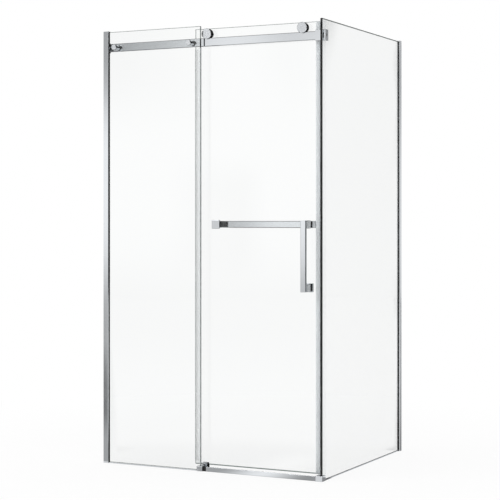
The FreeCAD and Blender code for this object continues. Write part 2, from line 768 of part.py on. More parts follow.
def roller(side):
    """A grooved wheel on a ball bearing, closed in front by a round cover."""
    x = f"roller_{side}_x"
    groove = "front_flange + rail_thick + 2 * side_play"
    seat = "bearing_setback + bearing_width"
    wheel = turned_body(
        f"roller_wheel_{side}",
        [
            ("bearing_radius", "0"),
            ("flange_radius", "0"),
            ("flange_radius", "front_flange"),
            ("tread_radius", "front_flange"),
            ("tread_radius", groove),
            ("flange_radius", groove),
            ("flange_radius", "wheel_width"),
            ("wheel_lip_radius", "wheel_width"),
            ("wheel_lip_radius", seat),
            ("bearing_radius", seat),
        ],
    )
    place(wheel, x, "wheel_y", "roller_z")
    node(f"roller_wheel_{side}", wheel)
    spigot = "bearing_radius - fit_clearance"
    cover = turned_body(
        f"roller_cover_{side}",
        [
            ("0", "0"),
            ("cover_radius - cover_bevel", "0"),
            ("cover_radius", "cover_bevel"),
            ("cover_radius", "cover_thick"),
            (spigot, "cover_thick"),
            (spigot, "cover_thick + bearing_setback"),
            (f"{spigot} - spigot_wall", "cover_thick + bearing_setback"),
            (f"{spigot} - spigot_wall", "cover_thick"),
            ("0", "cover_thick"),
        ],
    )
    place(cover, x, "wheel_y - cover_thick", "roller_z")
    node(f"roller_cover_{side}", cover)
    bearing(side, x)
    axle(side, x)


def bearing(side, x):
    """Two grooved races and the balls between them."""
    start = (x, "bearing_y", "roller_z")
    outer_radius = "bearing_radius - fit_clearance"
    inner_radius = "stud_radius + fit_clearance"
    outer = tube(f"outer_blank_{side}", "y", start, "bearing_width", outer_radius, f"{outer_radius} - race_wall")
    inner = tube(f"inner_blank_{side}", "y", start, "bearing_width", f"{inner_radius} + race_wall", inner_radius)
    for name, blank in (("outer", outer), ("inner", inner)):
        groove = doc.addObject("Part::Torus", f"{name}_groove_{side}")
        groove.Placement.Rotation = AXIS_TURNS["y"]
        bind(groove, {"Radius1": "ball_ring", "Radius2": "ball_radius + ball_clearance"})
        place(groove, x, "bearing_y + bearing_width / 2", "roller_z")
        label = f"bearing_{name}_race_{side}"
        node(label, cut(label, blank, [groove]))
    balls = []
    for number in range(BALL_COUNT):
        angle = f"{number} * {FULL_TURN} deg / {BALL_COUNT}"
        ball = doc.addObject("Part::Sphere", f"ball_{side}_{number}")
        bind(ball, {"Radius": "ball_radius"})
        middle = "bearing_y + bearing_width / 2"
        place(ball, f"{x} + ball_ring * cos({angle})", middle, f"roller_z + ball_ring * sin({angle})")
        balls.append(ball)
    node(f"bearing_balls_{side}", compound(f"bearing_balls_{side}", balls))


def axle(side, x):
    """A stepped axle that passes through the pane and carries the bearing in front of it."""
    shoulder = "bearing_back_y - (axle_y)"
    flange = "axle_flange_y - (axle_y)"
    end = "door_back_y + pad_thick + stud_bite - (axle_y)"
    axle_body = turned_body(
        f"roller_axle_{side}",
        [
            ("0", "0"),
            ("stud_radius", "0"),
            ("stud_radius", shoulder),
            ("axle_shoulder_radius", shoulder),
            ("axle_shoulder_radius", flange),
            ("pad_radius", flange),
            ("pad_radius", f"{flange} + axle_flange_thick"),
            ("stud_radius", f"{flange} + axle_flange_thick"),
            ("stud_radius", end),
            ("0", end),
        ],
    )
    place(axle_body, x, "axle_y", "roller_z")
    node(f"roller_axle_{side}", axle_body)


def rollers():
    """Both rollers, and the small pieces that hold their axles to the pane."""
    groups = {"axle_retaining_rings": [], "roller_glass_bushes": [], "roller_glass_pads": []}
    groups["roller_cap_nuts"] = []
    for side in ("left", "right"):
        roller(side)
        x = f"roller_{side}_x"
        shank = "stud_radius + fit_clearance"
        ring = (f"axle_ring_{side}", "y", (x, "bearing_y - ring_thick", "roller_z"), "ring_thick")
        groups["axle_retaining_rings"].append(tube(*ring, "stud_radius + ring_wall", shank))
        groups["roller_glass_bushes"].append(glass_bush(f"roller_bush_{side}", "y", (x, "door_y", "roller_z")))
        for face, y in (("outer", "door_y - pad_thick"), ("inner", "door_back_y")):
            pad = (f"roller_pad_{face}_{side}", "y", (x, y, "roller_z"), "pad_thick", "pad_radius")
            groups["roller_glass_pads"].append(tube(*pad, "glass_hole_radius"))
        nut_start = (x, "door_back_y + pad_thick", "roller_z")
        nut = capped_rod(f"roller_nut_{side}", "y", nut_start, "nut_thick", "nut_radius")
        blind = rod(f"roller_nut_blind_{side}", "y", nut_start, "stud_bite", shank)
        groups["roller_cap_nuts"].append(cut(f"roller_cap_nut_{side}", nut, [blind]))
    for label, pieces in groups.items():
        node(label, compound(label, pieces))


def pull_block(name, x, y, z, width, height, direction):
    """A block that stands on the glass, its edges along a direction rounded, or every edge if none is given."""
    block_x = (f"{x} - {width} / 2", f"{x} + {width} / 2")
    block_z = (f"{z} - {height} / 2", f"{z} + {height} / 2")
    blank = box(f"{name}_blank", block_x, y, block_z)
    return softened(f"{name}_rounded", "Part::Fillet", blank, "handle_round", direction)


def handle_and_towel_bar():
    """The upright pull outside and the level towel bar inside, clamped through the pane."""
    bar_x = ("handle_x - handle_width / 2", "handle_x + handle_width / 2")
    bar_y = ("handle_y", "handle_y + handle_thick")
    bar_z = ("handle_bottom", "handle_bottom + handle_length")
    bar = box("handle_blank", bar_x, bar_y, bar_z)
    node("handle_bar", softened("handle_bar", "Part::Fillet", bar, "handle_round"))
    towel_x = ("towel_x - towel_post_width / 2", "handle_x + towel_post_width / 2")
    towel_z = ("pull_top_z - towel_height / 2", "pull_top_z + towel_height / 2")
    towel = box("towel_blank", towel_x, ("towel_y", "towel_y + towel_thick"), towel_z)
    node("towel_bar", softened("towel_bar", "Part::Chamfer", towel, "towel_bevel"))
    shank = "stud_radius + fit_clearance"
    post_y = ("handle_y + handle_thick", "door_y - pad_thick")
    inside_y = ("door_back_y + pad_thick", "towel_y")
    cap_y = ("door_y - pad_thick - square_cap_thick", "door_y - pad_thick")
    back_cap_y = ("door_back_y + pad_thick", "door_back_y + pad_thick + square_cap_thick")
    groups = {"handle_posts": [], "towel_bar_posts": [], "towel_bar_outer_cap": [], "handle_inner_cap": []}
    groups.update({"pull_studs": [], "pull_glass_bushes": [], "pull_glass_pads": []})
    clamps = {
        "top": ("handle_x", "pull_top_z", "handle_posts", "towel_bar_posts"),
        "low": ("handle_x", "pull_low_z", "handle_posts", "handle_inner_cap"),
        "towel": ("towel_x", "pull_top_z", "towel_bar_outer_cap", "towel_bar_posts"),
    }
    blocks = {
        "handle_posts": (post_y, "handle_width", "post_height", "pull_stud_bite"),
        "towel_bar_posts": (inside_y, "towel_post_width", "towel_height", "pull_stud_bite"),
        "towel_bar_outer_cap": (cap_y, "square_cap_side", "square_cap_side", "stud_bite"),
        "handle_inner_cap": (back_cap_y, "square_cap_side", "square_cap_side", "stud_bite"),
    }
    for name, (x, z, outside, inside) in clamps.items():
        out_bite = blocks[outside][3]
        in_bite = blocks[inside][3]
        bites = {outside: (f"door_y - pad_thick - {out_bite}", out_bite)}
        bites[inside] = ("door_back_y + pad_thick", in_bite)
        for label, (start_y, bite) in bites.items():
            span_y, width, height, _ = blocks[label]
            direction = None if label.endswith("_cap") else FreeCAD.Vector(0, 1, 0)
            block = pull_block(f"{label}_{name}", x, span_y, z, width, height, direction)
            blind = rod(f"{label}_{name}_blind", "y", (x, start_y, z), bite, shank)
            groups[label].append(cut(f"{label}_{name}_drilled", block, [blind]))
        stud_span = f"{out_bite} + {in_bite} + 2 * pad_thick + glass_thick"
        stud = rod(f"pull_stud_{name}", "y", (x, bites[outside][0], z), stud_span, "stud_radius")
        groups["pull_studs"].append(stud)
        groups["pull_glass_bushes"].append(glass_bush(f"pull_bush_{name}", "y", (x, "door_y", z)))
        for face, y in (("outer", "door_y - pad_thick"), ("inner", "door_back_y")):
            pad = (f"pull_pad_{face}_{name}", "y", (x, y, z), "pad_thick", "pad_radius")
            groups["pull_glass_pads"].append(tube(*pad, "glass_hole_radius"))
    for label, pieces in groups.items():
        node(label, compound(label, pieces) if len(pieces) > 1 else pieces[0])


def check_and_write():
    """Stop on any failed feature or bad solid, then write one file per sub-part."""
    doc.recompute()
    failed = [piece.Name for piece in doc.Objects if {"Invalid", "Error"} & set(piece.State)]
    bad = [piece.Label for piece in nodes if piece.Shape.isNull() or not piece.Shape.isValid()]
    if failed or bad:
        raise ValueError(f"failed features {failed}, bad solids {bad}")
    os.makedirs("parts", exist_ok=True)
    for piece in nodes:
        piece.Shape.exportStep(f"parts/{piece.Label}.step")
    print(f"{len(nodes)} sub-parts, {sum(len(piece.Shape.Solids) for piece in nodes)} solids")


fill_sheet()
wall_fixings()
panels()
rail_and_bolts()
rail_brackets()
floor_fittings()
seals()
door_pane()
rollers()
handle_and_towel_bar()
check_and_write()
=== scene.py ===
# %% [markdown]
# # A corner shower enclosure
# The object is a glass corner for a shower: a fixed pane and a sliding door along the front, a return pane
# on the right, and polished metal that holds them. The measured solids come from the packed model, so this
# script never draws their shapes again. It gives them their finishes, softens the few long strips that are
# sharp in the solids, and sets up the light and the camera. Lengths are in metres.

# %% Load the frame
import math

import bmesh
import bpy
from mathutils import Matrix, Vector


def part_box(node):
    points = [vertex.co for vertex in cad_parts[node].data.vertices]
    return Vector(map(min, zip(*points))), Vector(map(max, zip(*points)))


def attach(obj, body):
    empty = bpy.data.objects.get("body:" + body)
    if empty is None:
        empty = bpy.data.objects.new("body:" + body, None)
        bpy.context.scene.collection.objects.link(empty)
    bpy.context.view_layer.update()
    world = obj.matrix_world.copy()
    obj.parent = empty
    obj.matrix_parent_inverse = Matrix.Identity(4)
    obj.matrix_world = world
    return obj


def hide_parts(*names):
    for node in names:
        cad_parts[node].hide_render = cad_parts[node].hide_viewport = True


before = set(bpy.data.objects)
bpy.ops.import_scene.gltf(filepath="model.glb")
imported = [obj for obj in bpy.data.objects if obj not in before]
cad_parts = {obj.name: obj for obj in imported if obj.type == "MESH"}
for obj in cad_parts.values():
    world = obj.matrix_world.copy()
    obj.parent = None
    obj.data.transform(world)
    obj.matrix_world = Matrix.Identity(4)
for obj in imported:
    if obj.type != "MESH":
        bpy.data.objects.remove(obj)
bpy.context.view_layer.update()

# %% [markdown]
# The camera comes first, because every comparison with the picture depends on it. The upright edges in the
# picture are upright, so the camera is level and the picture is shifted instead of tilted. Its place was
# worked out from the corners of the glass. It stands six metres away, to the right of the front corner and
# turned to the left, and the middle of its view passes the corner on the left by the offset.

# %% Camera
CAMERA_TURN = math.radians(26.68)
CAMERA_DISTANCE = 5.994
CAMERA_OFFSET = 0.2995
CAMERA_HEIGHT = 1.089
CAMERA_LENS = 103.97
CAMERA_RISE = -0.061
SENSOR_WIDTH = 36.0
FARTHEST_SEEN = 200.0
LEVEL = math.radians(90.0)

return_low, return_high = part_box("return_panel_glass")
front_low, front_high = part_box("fixed_panel_glass")
front_corner = Vector((return_high.x, front_low.y, 0.0))
sideways = Vector((math.cos(CAMERA_TURN), math.sin(CAMERA_TURN), 0.0))
forwards = Vector((-math.sin(CAMERA_TURN), math.cos(CAMERA_TURN), 0.0))
stand = front_corner - CAMERA_OFFSET * sideways - CAMERA_DISTANCE * forwards
stand.z = CAMERA_HEIGHT

lens = bpy.data.cameras.new("studio_camera")
lens.lens = CAMERA_LENS
lens.sensor_width = SENSOR_WIDTH
lens.sensor_fit = "HORIZONTAL"
lens.shift_y = CAMERA_RISE
lens.clip_end = FARTHEST_SEEN
camera = bpy.data.objects.new("studio_camera", lens)
camera.location = stand
camera.rotation_euler = (LEVEL, 0.0, CAMERA_TURN)
bpy.context.scene.collection.objects.link(camera)
bpy.context.scene.camera = camera
bpy.context.scene.view_settings.view_transform = "Standard"
print("camera stands at", [round(v, 3) for v in stand])

# %% [markdown]
# A material is a tree of nodes, and wiring Math nodes by hand hides the idea behind the plumbing. The next
# two cells let a finish be written as ordinary sums. A Wire is one output of a node: adding or multiplying
# wires adds the Math nodes, also where a plain number comes first. The methods with names are for sums that
# have no sign in Python: above is 1 past a level and 0 before it, and ease climbs smoothly from 0 to 1
# between two values.

# %% Wires that can be added up
class Wire:
    """One output socket, with arithmetic that adds Math nodes."""

    def __init__(self, finish, socket):
        self.finish = finish
        self.socket = socket

    def maths(self, operation, first, second):
        node = self.finish.add("ShaderNodeMath", {"operation": operation}, {0: first, 1: second})
        return node[0]

    def __add__(self, other):
        return self.maths("ADD", self, other)

    def __radd__(self, other):
        return self.maths("ADD", other, self)

    def __sub__(self, other):
        return self.maths("SUBTRACT", self, other)

    def __rsub__(self, other):
        return self.maths("SUBTRACT", other, self)

    def __mul__(self, other):
        return self.maths("MULTIPLY", self, other)

    def __rmul__(self, other):
        return self.maths("MULTIPLY", other, self)

    def __truediv__(self, other):
        return self.maths("DIVIDE", self, other)

    def __rtruediv__(self, other):
        return self.maths("DIVIDE", other, self)

    def above(self, level):
        return self.maths("GREATER_THAN", self, level)

    def most(self, other):
        return self.maths("MAXIMUM", self, other)

    def least(self, other):
        return self.maths("MINIMUM", self, other)

    def size(self):
        return self.maths("ABSOLUTE", self, 0.0)

    def ease(self, start, end):
        settings = {"interpolation_type": "SMOOTHSTEP"}
        span = {"Value": self, "From Min": start, "From Max": end}
        return self.finish.add("ShaderNodeMapRange", settings, span)[0]


print("wires ready:", [name for name in vars(Wire) if not name.startswith("_")])

# %% [markdown]
# A Finish is one tree of nodes, of a material or of the world. Its add method makes any node: the node's
# own settings come first, such as a Math node's operation or a ramp's stops, and then the values or wires
# of its sockets. It hands back the new node, whose outputs are read by name or by number.

# %% Node trees built line by line
class Added:
    """A node that was added to a finish; its outputs are read by name or by number."""

    def __init__(self, finish, node):
        self.finish = finish
        self.node = node

    def __getitem__(self, key):
        return Wire(self.finish, self.node.outputs[key])


class Finish:
    """One node tree that is built up line by line."""

    def __init__(self, owner):
        owner.use_nodes = True
        self.owner = owner
        self.tree = owner.node_tree
        self.tree.nodes.clear()

    def add(self, kind, settings, inputs):
        node = self.tree.nodes.new(kind)
        for name, value in settings.items():
            if name == "stops":
                self.fill_ramp(node, value)
            else:
                setattr(node, name, value)
        for key, value in inputs.items():
            if isinstance(value, Wire):
                self.tree.links.new(value.socket, node.inputs[key])
            else:
                node.inputs[key].default_value = value
        return Added(self, node)

    def fill_ramp(self, node, stops):
        marks = node.color_ramp.elements
        while len(marks) < len(stops):
            marks.new(1.0)
        for mark, (place, shade) in zip(marks, stops):
            mark.position = place
            mark.color = shade


def new_finish(name):
    return Finish(bpy.data.materials.new(name))


def grey(level):
    return (level, level, level, 1.0)


BLACK = grey(0.0)
WHITE = grey(1.0)
print("node trees ready, from", BLACK, "to", WHITE)

# %% [markdown]
# Most finishes need the same few ingredients: the place on the piece, the way a face points, a cloud of
# noise, noise drawn out into streaks, and a shade between two colours. Object coordinates are used because
# every piece sits at the origin, so a pattern keeps its true size and stays put when parts move. The scale
# of a cloud is how many of its lumps fit into a metre, and its detail is how many finer layers lie on top.
# A Mix node has a set of sockets for each kind of value, and the numbers below pick the set for colours.

# %% Ingredients for finishes
MIX_AMOUNT = 0
MIX_FIRST = 6
MIX_SECOND = 7
MIX_RESULT = 2


def place_on_piece(finish):
    return finish.add("ShaderNodeTexCoord", {}, {})["Object"]


def axes_of(finish, vector):
    return finish.add("ShaderNodeSeparateXYZ", {}, {"Vector": vector})


def facing(finish):
    return axes_of(finish, finish.add("ShaderNodeNewGeometry", {}, {})["True Normal"])


def cloud(finish, place, scale, detail):
    return finish.add("ShaderNodeTexNoise", {}, {"Vector": place, "Scale": scale, "Detail": detail})[0]


def streaks(finish, place, per_metre):
    drawn_out = finish.add("ShaderNodeMapping", {}, {"Vector": place, "Scale": per_metre})[0]
    return cloud(finish, drawn_out, scale=1.0, detail=2.0)


def shade_between(finish, amount, dark, light):
    sockets = {MIX_AMOUNT: amount, MIX_FIRST: dark, MIX_SECOND: light}
    return finish.add("ShaderNodeMix", {"data_type": "RGBA"}, sockets)[MIX_RESULT]


def raised(finish, height, depth):
    return finish.add("ShaderNodeBump", {}, {"Height": height, "Distance": depth, "Strength": 1.0})[0]


def close_finish(finish, **ends):
    finish.add("ShaderNodeOutputMaterial", {}, ends)
    return finish.owner


print("ingredients ready")

# %% [markdown]
# The metal on the real enclosure is brass or steel that was buffed and then chromed. It is a near mirror,
# so its look comes from what it reflects. What gives it away as metal close up is a slight unevenness from
# the buffing wheel, drawn out along each bar, and a thin haze that changes slowly. Both go to roughness,
# and the buffing goes with a faint ripple into a very small bump. The buffing direction follows the piece,
# so there is one finish for bars along each axis. The round caps and covers were faced on a lathe, and
# their flat fronts stay satin: a mask on the normal finds those fronts.

# %% Chrome
CHROME_TINTS = ((0.785, 0.81, 0.84, 1.0), (0.85, 0.875, 0.90, 1.0))
HAZE_SCALE = 9.0
RIPPLE_SCALE = 70.0
RIPPLE_SHARE = 0.7
RIPPLE_DEPTH = 0.00002
POLISHED_ROUGHNESS = 0.03
HAZE_ROUGHNESS = 0.04
BUFFED_ROUGHNESS = 0.045
SATIN_ROUGHNESS = 0.20
FLAT_FRONT = 0.98
ALONG_BAR = 6.0
ACROSS_BAR = 900.0
ALL_ROUND = 260.0
LATHE_STREAKS = (160.0, 60.0, 160.0)


def chrome(name, per_metre, satin=0.0):
    finish = new_finish(name)
    place = place_on_piece(finish)
    front = facing(finish)["Y"].size().above(FLAT_FRONT)
    haze = cloud(finish, place, HAZE_SCALE, detail=3.0)
    buffed = streaks(finish, place, per_metre)
    ripple = cloud(finish, place, RIPPLE_SCALE, detail=1.0)
    height = RIPPLE_SHARE * ripple + (1.0 - RIPPLE_SHARE) * buffed
    shader = finish.add("ShaderNodeBsdfPrincipled", {}, {
        "Base Color": shade_between(finish, haze, *CHROME_TINTS),
        "Metallic": 1.0,
        "Roughness": POLISHED_ROUGHNESS + HAZE_ROUGHNESS * haze + BUFFED_ROUGHNESS * buffed + satin * front,
        "Normal": raised(finish, height, RIPPLE_DEPTH),
    })
    return close_finish(finish, Surface=shader["BSDF"])


chrome_along_x = chrome("chrome_buffed_along_x", (ALONG_BAR, ACROSS_BAR, ACROSS_BAR))
chrome_along_z = chrome("chrome_buffed_along_z", (ACROSS_BAR, ACROSS_BAR, ALONG_BAR))
chrome_block = chrome("chrome_buffed_all_round", (ALL_ROUND, ALL_ROUND, ALL_ROUND))
chrome_faced = chrome("chrome_with_satin_front", LATHE_STREAKS, SATIN_ROUGHNESS)
print("chrome:", chrome_along_x.name, chrome_along_z.name, chrome_block.name, chrome_faced.name)

# %% [markdown]
# The panes are ten millimetre toughened glass. Clear glass still takes a little out of the light, and the
# volume of the pane does that here: a look straight through loses a few percent, and a look along the pane,
# in at its edge, loses nearly all, which is why the cut edges read as dark lines. The cut edges are ground
# and then polished, and keep a trace of roughness that the faces don't have. On top of that they are tinted
# dark, which is painted shade that makes the lines darker still. Toughening leaves the faces very slightly
# wavy, and that is a bump so shallow that only a reflection shows it. The door's foot hangs free over the
# sill, and nothing covers the top of the return pane. There a band a few millimetres onto both faces gets
# the roughness and the painted shade of the edge, so that the edge reads as a grey line.

# %% Glass
FACE_TINT = (0.985, 0.992, 0.990, 1.0)
# Painted shade: a dark tint on the cut edges and on the band, so that they read as dark lines.
EDGE_PAINTED_SHADE = (0.30, 0.34, 0.33, 1.0)
DEPTH_TINT = (0.50, 0.53, 0.525, 1.0)
DEPTH_DENSITY = 3.2
GLASS_IOR = 1.51
FLAT_FACE = 0.95
GRIT_SCALE = 1400.0
GRIT_SHARE = 0.05
EDGE_ROUGHNESS = 0.10
GRIT_ROUGHNESS = 0.16
WAVE_SCALE = 4.0
WAVE_DEPTH = 0.00025
# This band at the door's foot and the return's top gets roughness and painted shade.
ROUGH_SHADED_BAND = 0.0048


def glass(name, face_axis, clear_from, clear_to):
    finish = new_finish(name)
    place = place_on_piece(finish)
    up = axes_of(finish, place)["Z"]
    on_face = facing(finish)[face_axis].size().above(FLAT_FACE)
    on_edge = 1.0 - on_face * up.above(clear_from) * (1.0 - up.above(clear_to))
    grit = cloud(finish, place, GRIT_SCALE, detail=2.0)
    wave = cloud(finish, place, WAVE_SCALE, detail=0.0)
    height = wave + GRIT_SHARE * on_edge * grit
    shader = finish.add("ShaderNodeBsdfPrincipled", {}, {
        # Painted shade: the edges and the band are tinted dark.
        "Base Color": shade_between(finish, on_edge, FACE_TINT, EDGE_PAINTED_SHADE),
        "Roughness": on_edge * (EDGE_ROUGHNESS + GRIT_ROUGHNESS * grit),
        "IOR": GLASS_IOR,
        "Transmission Weight": 1.0,
        "Normal": raised(finish, height, WAVE_DEPTH),
    })
    depth = finish.add("ShaderNodeVolumeAbsorption", {}, {"Color": DEPTH_TINT, "Density": DEPTH_DENSITY})
    return close_finish(finish, Surface=shader["BSDF"], Volume=depth[0])


door_low, door_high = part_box("door_glass")
front_glass = glass("front_glass", "Y", front_low.z, front_high.z)
door_glass = glass("door_glass", "Y", door_low.z + ROUGH_SHADED_BAND, door_high.z)
return_glass = glass("return_glass", "X", return_low.z, return_high.z - ROUGH_SHADED_BAND)
print("glass:", front_glass.name, door_glass.name, return_glass.name)

# %% [markdown]
# The seals are clear vinyl that was pushed through a die. It is softer and cloudier than glass, slightly
# blue, and the die leaves fine lines along the length of the strip. The walls are only a millimetre thick,
# so they hardly bend the light: a low alpha shows what is behind them, and the die lines change how much.
# The door's leading seal is cloudier than the two with slanted fins, so it hides more. Past the edge of the
# door it narrows to a single fin, which is clearer again.

# %% Clear vinyl
VINYL_TINTS = ((0.84, 0.89, 0.92, 1.0), (0.92, 0.95, 0.97, 1.0))
DIE_STREAKS = (1600.0, 1600.0, 3.0)
DIE_DEPTH = 0.00008
BLOOM_SCALE = 30.0
VINYL_IOR = 1.45
VINYL_GLOSS = 0.2
VINYL_ROUGHNESS = 0.10
DIE_ROUGHNESS = 0.12
BLOOM_ROUGHNESS = 0.08
CLEAREST = 0.5
DIE_CLOUDING = 0.65
BLOOM_CLOUDING = 0.25
THIN_BODY = 0.14
STOUT_BODY = 0.45
FIN_BODY = 0.10
FIN_START = 0.0015
FIN_BLEND = 0.002


def clear_vinyl(name, body, fin_start):
    finish = new_finish(name)
    place = place_on_piece(finish)
    die_lines = streaks(finish, place, DIE_STREAKS)
    bloom = cloud(finish, place, BLOOM_SCALE, detail=3.0)
    fin = axes_of(finish, place)["X"].ease(fin_start, fin_start + FIN_BLEND)
    clouding = CLEAREST + DIE_CLOUDING * die_lines + BLOOM_CLOUDING * bloom
    shader = finish.add("ShaderNodeBsdfPrincipled", {}, {
        "Base Color": shade_between(finish, bloom, *VINYL_TINTS),
        "Roughness": VINYL_ROUGHNESS + DIE_ROUGHNESS * die_lines + BLOOM_ROUGHNESS * bloom,
        "IOR": VINYL_IOR,
        "Specular IOR Level": VINYL_GLOSS,
        "Alpha": (body - (body - FIN_BODY) * fin) * clouding,
        "Normal": raised(finish, die_lines, DIE_DEPTH),
    })
    return close_finish(finish, Surface=shader["BSDF"])


thin_vinyl = clear_vinyl("clear_vinyl_thin_seal", THIN_BODY, door_high.x)
stout_vinyl = clear_vinyl("clear_vinyl_stout_seal", STOUT_BODY, door_high.x + FIN_START)
print("vinyl:", thin_vinyl.name, stout_vinyl.name)

# %% [markdown]
# The dull parts are small but they give the metal its dark lines: rubber strips that wedge the glass into
# the wall channels, and hard nylon for the wheels and the guide. Rubber is matt and a little chalky. Nylon
# is smoother, with a low gloss and a fine moulded grain. The bushes round the bolts are the same nylon
# without the black.

# %% Rubber and nylon
PATCH_SCALE = 45.0
PATCH_SHARE = 0.6
RUBBER_TINTS = (grey(0.012), grey(0.030))
BLACK_TINTS = (grey(0.010), grey(0.022))
PALE_TINTS = ((0.70, 0.70, 0.67, 1.0), (0.80, 0.80, 0.78, 1.0))


def moulded(name, tints, smooth, dull, grain, depth):
    finish = new_finish(name)
    place = place_on_piece(finish)
    patches = cloud(finish, place, PATCH_SCALE, detail=4.0)
    pits = cloud(finish, place, grain, detail=2.0)
    wear = PATCH_SHARE * patches + (1.0 - PATCH_SHARE) * pits
    shader = finish.add("ShaderNodeBsdfPrincipled", {}, {
        "Base Color": shade_between(finish, patches, *tints),
        "Roughness": smooth + (dull - smooth) * wear,
        "Normal": raised(finish, pits, depth),
    })
    return close_finish(finish, Surface=shader["BSDF"])


black_rubber = moulded(
    "black_rubber_strip", RUBBER_TINTS, smooth=0.48, dull=0.78, grain=1500.0, depth=0.00012
)
black_nylon = moulded(
    "black_nylon_wheel", BLACK_TINTS, smooth=0.28, dull=0.50, grain=2400.0, depth=0.00006
)
white_nylon = moulded(
    "white_nylon_bush", PALE_TINTS, smooth=0.30, dull=0.50, grain=2400.0, depth=0.00005
)
print("moulded:", black_rubber.name, black_nylon.name, white_nylon.name)

# %% [markdown]
# The screws, axles and bearing rings are plain stainless steel straight from the lathe: greyer than chrome
# and rougher, with fine tool marks.

# %% Turned steel
STEEL_TINTS = ((0.50, 0.49, 0.48, 1.0), (0.60, 0.60, 0.59, 1.0))
TOOL_STREAKS = (500.0, 4200.0, 500.0)
TOOL_DEPTH = 0.00005
STAIN_SCALE = 120.0
TURNED_ROUGHNESS = 0.20
TOOL_ROUGHNESS = 0.14
STAIN_ROUGHNESS = 0.06


def turned_steel():
    finish = new_finish("turned_steel")
    place = place_on_piece(finish)
    tool_marks = streaks(finish, place, TOOL_STREAKS)
    stain = cloud(finish, place, STAIN_SCALE, detail=3.0)
    shader = finish.add("ShaderNodeBsdfPrincipled", {}, {
        "Base Color": shade_between(finish, stain, *STEEL_TINTS),
        "Metallic": 1.0,
        "Roughness": TURNED_ROUGHNESS + TOOL_ROUGHNESS * tool_marks + STAIN_ROUGHNESS * stain,
        "Normal": raised(finish, tool_marks, TOOL_DEPTH),
    })
    return close_finish(finish, Surface=shader["BSDF"])


steel = turned_steel()
print("steel:", steel.name)

# %% [markdown]
# Each solid arrives with a plain material named for its slot in the record. The tables below swap it for a
# finish made above. Bars get the chrome that was buffed along their own length, round caps get the chrome
# with the satin front, and the door and the return pane get the glass with their own rough edge band, which
# is tinted dark as painted shade.

# %% Finishes on the solids
FINISH_OF_SLOT = {
    "chrome": chrome_block,
    "glass": front_glass,
    "clear_vinyl": thin_vinyl,
    "black_rubber": black_rubber,
    "black_nylon": black_nylon,
    "white_nylon": white_nylon,
    "steel": steel,
}
FINISH_OF_PIECE = {
    "return_panel_glass": return_glass,
    "door_glass": door_glass,
    "slide_rail": chrome_along_x,
    "towel_bar": chrome_along_x,
    "threshold_sill": chrome_along_x,
    "wall_profile_left": chrome_along_z,
    "wall_profile_back": chrome_along_z,
    "handle_bar": chrome_along_z,
    "roller_cover_left": chrome_faced,
    "roller_cover_right": chrome_faced,
    "rail_bolt_caps": chrome_faced,
    "roller_cap_nuts": chrome_faced,
}
for name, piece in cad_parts.items():
    slot = piece.data.materials[0].name.split(".")[0]
    piece.material_slots[0].material = FINISH_OF_PIECE.get(name, FINISH_OF_SLOT[slot])
print("finished solids:", len(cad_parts))

# %% [markdown]
# The seals and gaskets are strips that were pushed through a die. Every edge of a real one is a little
# round, because warm vinyl and rubber swell as they leave the die. The solids have these edges sharp, so a
# copy of each strip takes its place: the loose triangles are merged, flat neighbours are joined into whole
# faces, and every edge gets a small bevel. The copy is also drawn in by a few hundredths of a millimetre.
# Where clear vinyl and glass lie at the very same place, a light ray can't tell which of them it has
# entered, and the strip turns grey.

# %% Soft strips
MERGED_WITHIN = 0.00001
DRAWN_IN = 0.00006
FLAT_ANGLE = math.radians(2.0)
SHARP_ANGLE = math.radians(50.0)
VINYL_ROUNDING = 0.00035
RUBBER_ROUNDING = 0.0006


def soft_strip(name, body, rounding, finish):
    shape = bmesh.new()
    shape.from_mesh(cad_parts[name].data)
    bmesh.ops.remove_doubles(shape, verts=shape.verts[:], dist=MERGED_WITHIN)
    bmesh.ops.dissolve_limit(shape, angle_limit=FLAT_ANGLE, verts=shape.verts[:], edges=shape.edges[:])
    shape.normal_update()
    for point in shape.verts:
        point.co -= DRAWN_IN * point.normal
    bmesh.ops.bevel(
        shape,
        geom=shape.edges[:],
        offset=rounding,
        affect="EDGES",
        segments=2,
        profile=0.5,
        material=-1,
        clamp_overlap=True,
    )
    mesh = bpy.data.meshes.new(f"soft_{name}")
    shape.to_mesh(mesh)
    shape.free()
    mesh.shade_smooth()
    mesh.set_sharp_from_angle(angle=SHARP_ANGLE)
    piece = bpy.data.objects.new(f"soft_{name}", mesh)
    bpy.context.scene.collection.objects.link(piece)
    piece.data.materials.append(finish)
    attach(piece, body)
    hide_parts(name)
    print(piece.name, "faces:", len(mesh.polygons))


soft_strip("fixed_panel_edge_seal", "frame", VINYL_ROUNDING, thin_vinyl)
soft_strip("door_trailing_seal", "door", VINYL_ROUNDING, thin_vinyl)
soft_strip("door_leading_seal", "door", VINYL_ROUNDING, stout_vinyl)
soft_strip("wall_gaskets_left", "frame", RUBBER_ROUNDING, black_rubber)
soft_strip("wall_gaskets_back", "frame", RUBBER_ROUNDING, black_rubber)

# %% [markdown]
# The floor is a plain pale disc, a hair below the object, so that no two faces lie at the same place. A
# mirror needs more than white around it, or it looks like paper, and nearly all the metal here is a mirror.
# So the floor has two looks: white for the camera, and graded greys for whatever mirrors it. The greys are
# written as sums over three measures of a spot on the floor: how far it lies to the right, how far back,
# and how far from the middle. A flat face sends the camera's rays on along slanted lines over the floor.
# The helper right_of_line is 1 on the right of such a line, so that a change of grey shows in the mirror
# exactly where one piece ends and the next begins. Every pair of numbers is where a soft edge starts and
# where it ends.

# %% Floor disc
FLOOR_RADIUS = 14.0
FLOOR_SIDES = 96
FLOOR_DROP = 0.0005
FRONT_EDGE = (-0.47, -0.43)

shape = bmesh.new()
bmesh.ops.create_circle(shape, cap_ends=True, segments=FLOOR_SIDES, radius=FLOOR_RADIUS)
mesh = bpy.data.meshes.new("studio_floor")
shape.to_mesh(mesh)
shape.free()
floor = bpy.data.objects.new("studio_floor", mesh)
bpy.context.scene.collection.objects.link(floor)
floor.location.z = -FLOOR_DROP

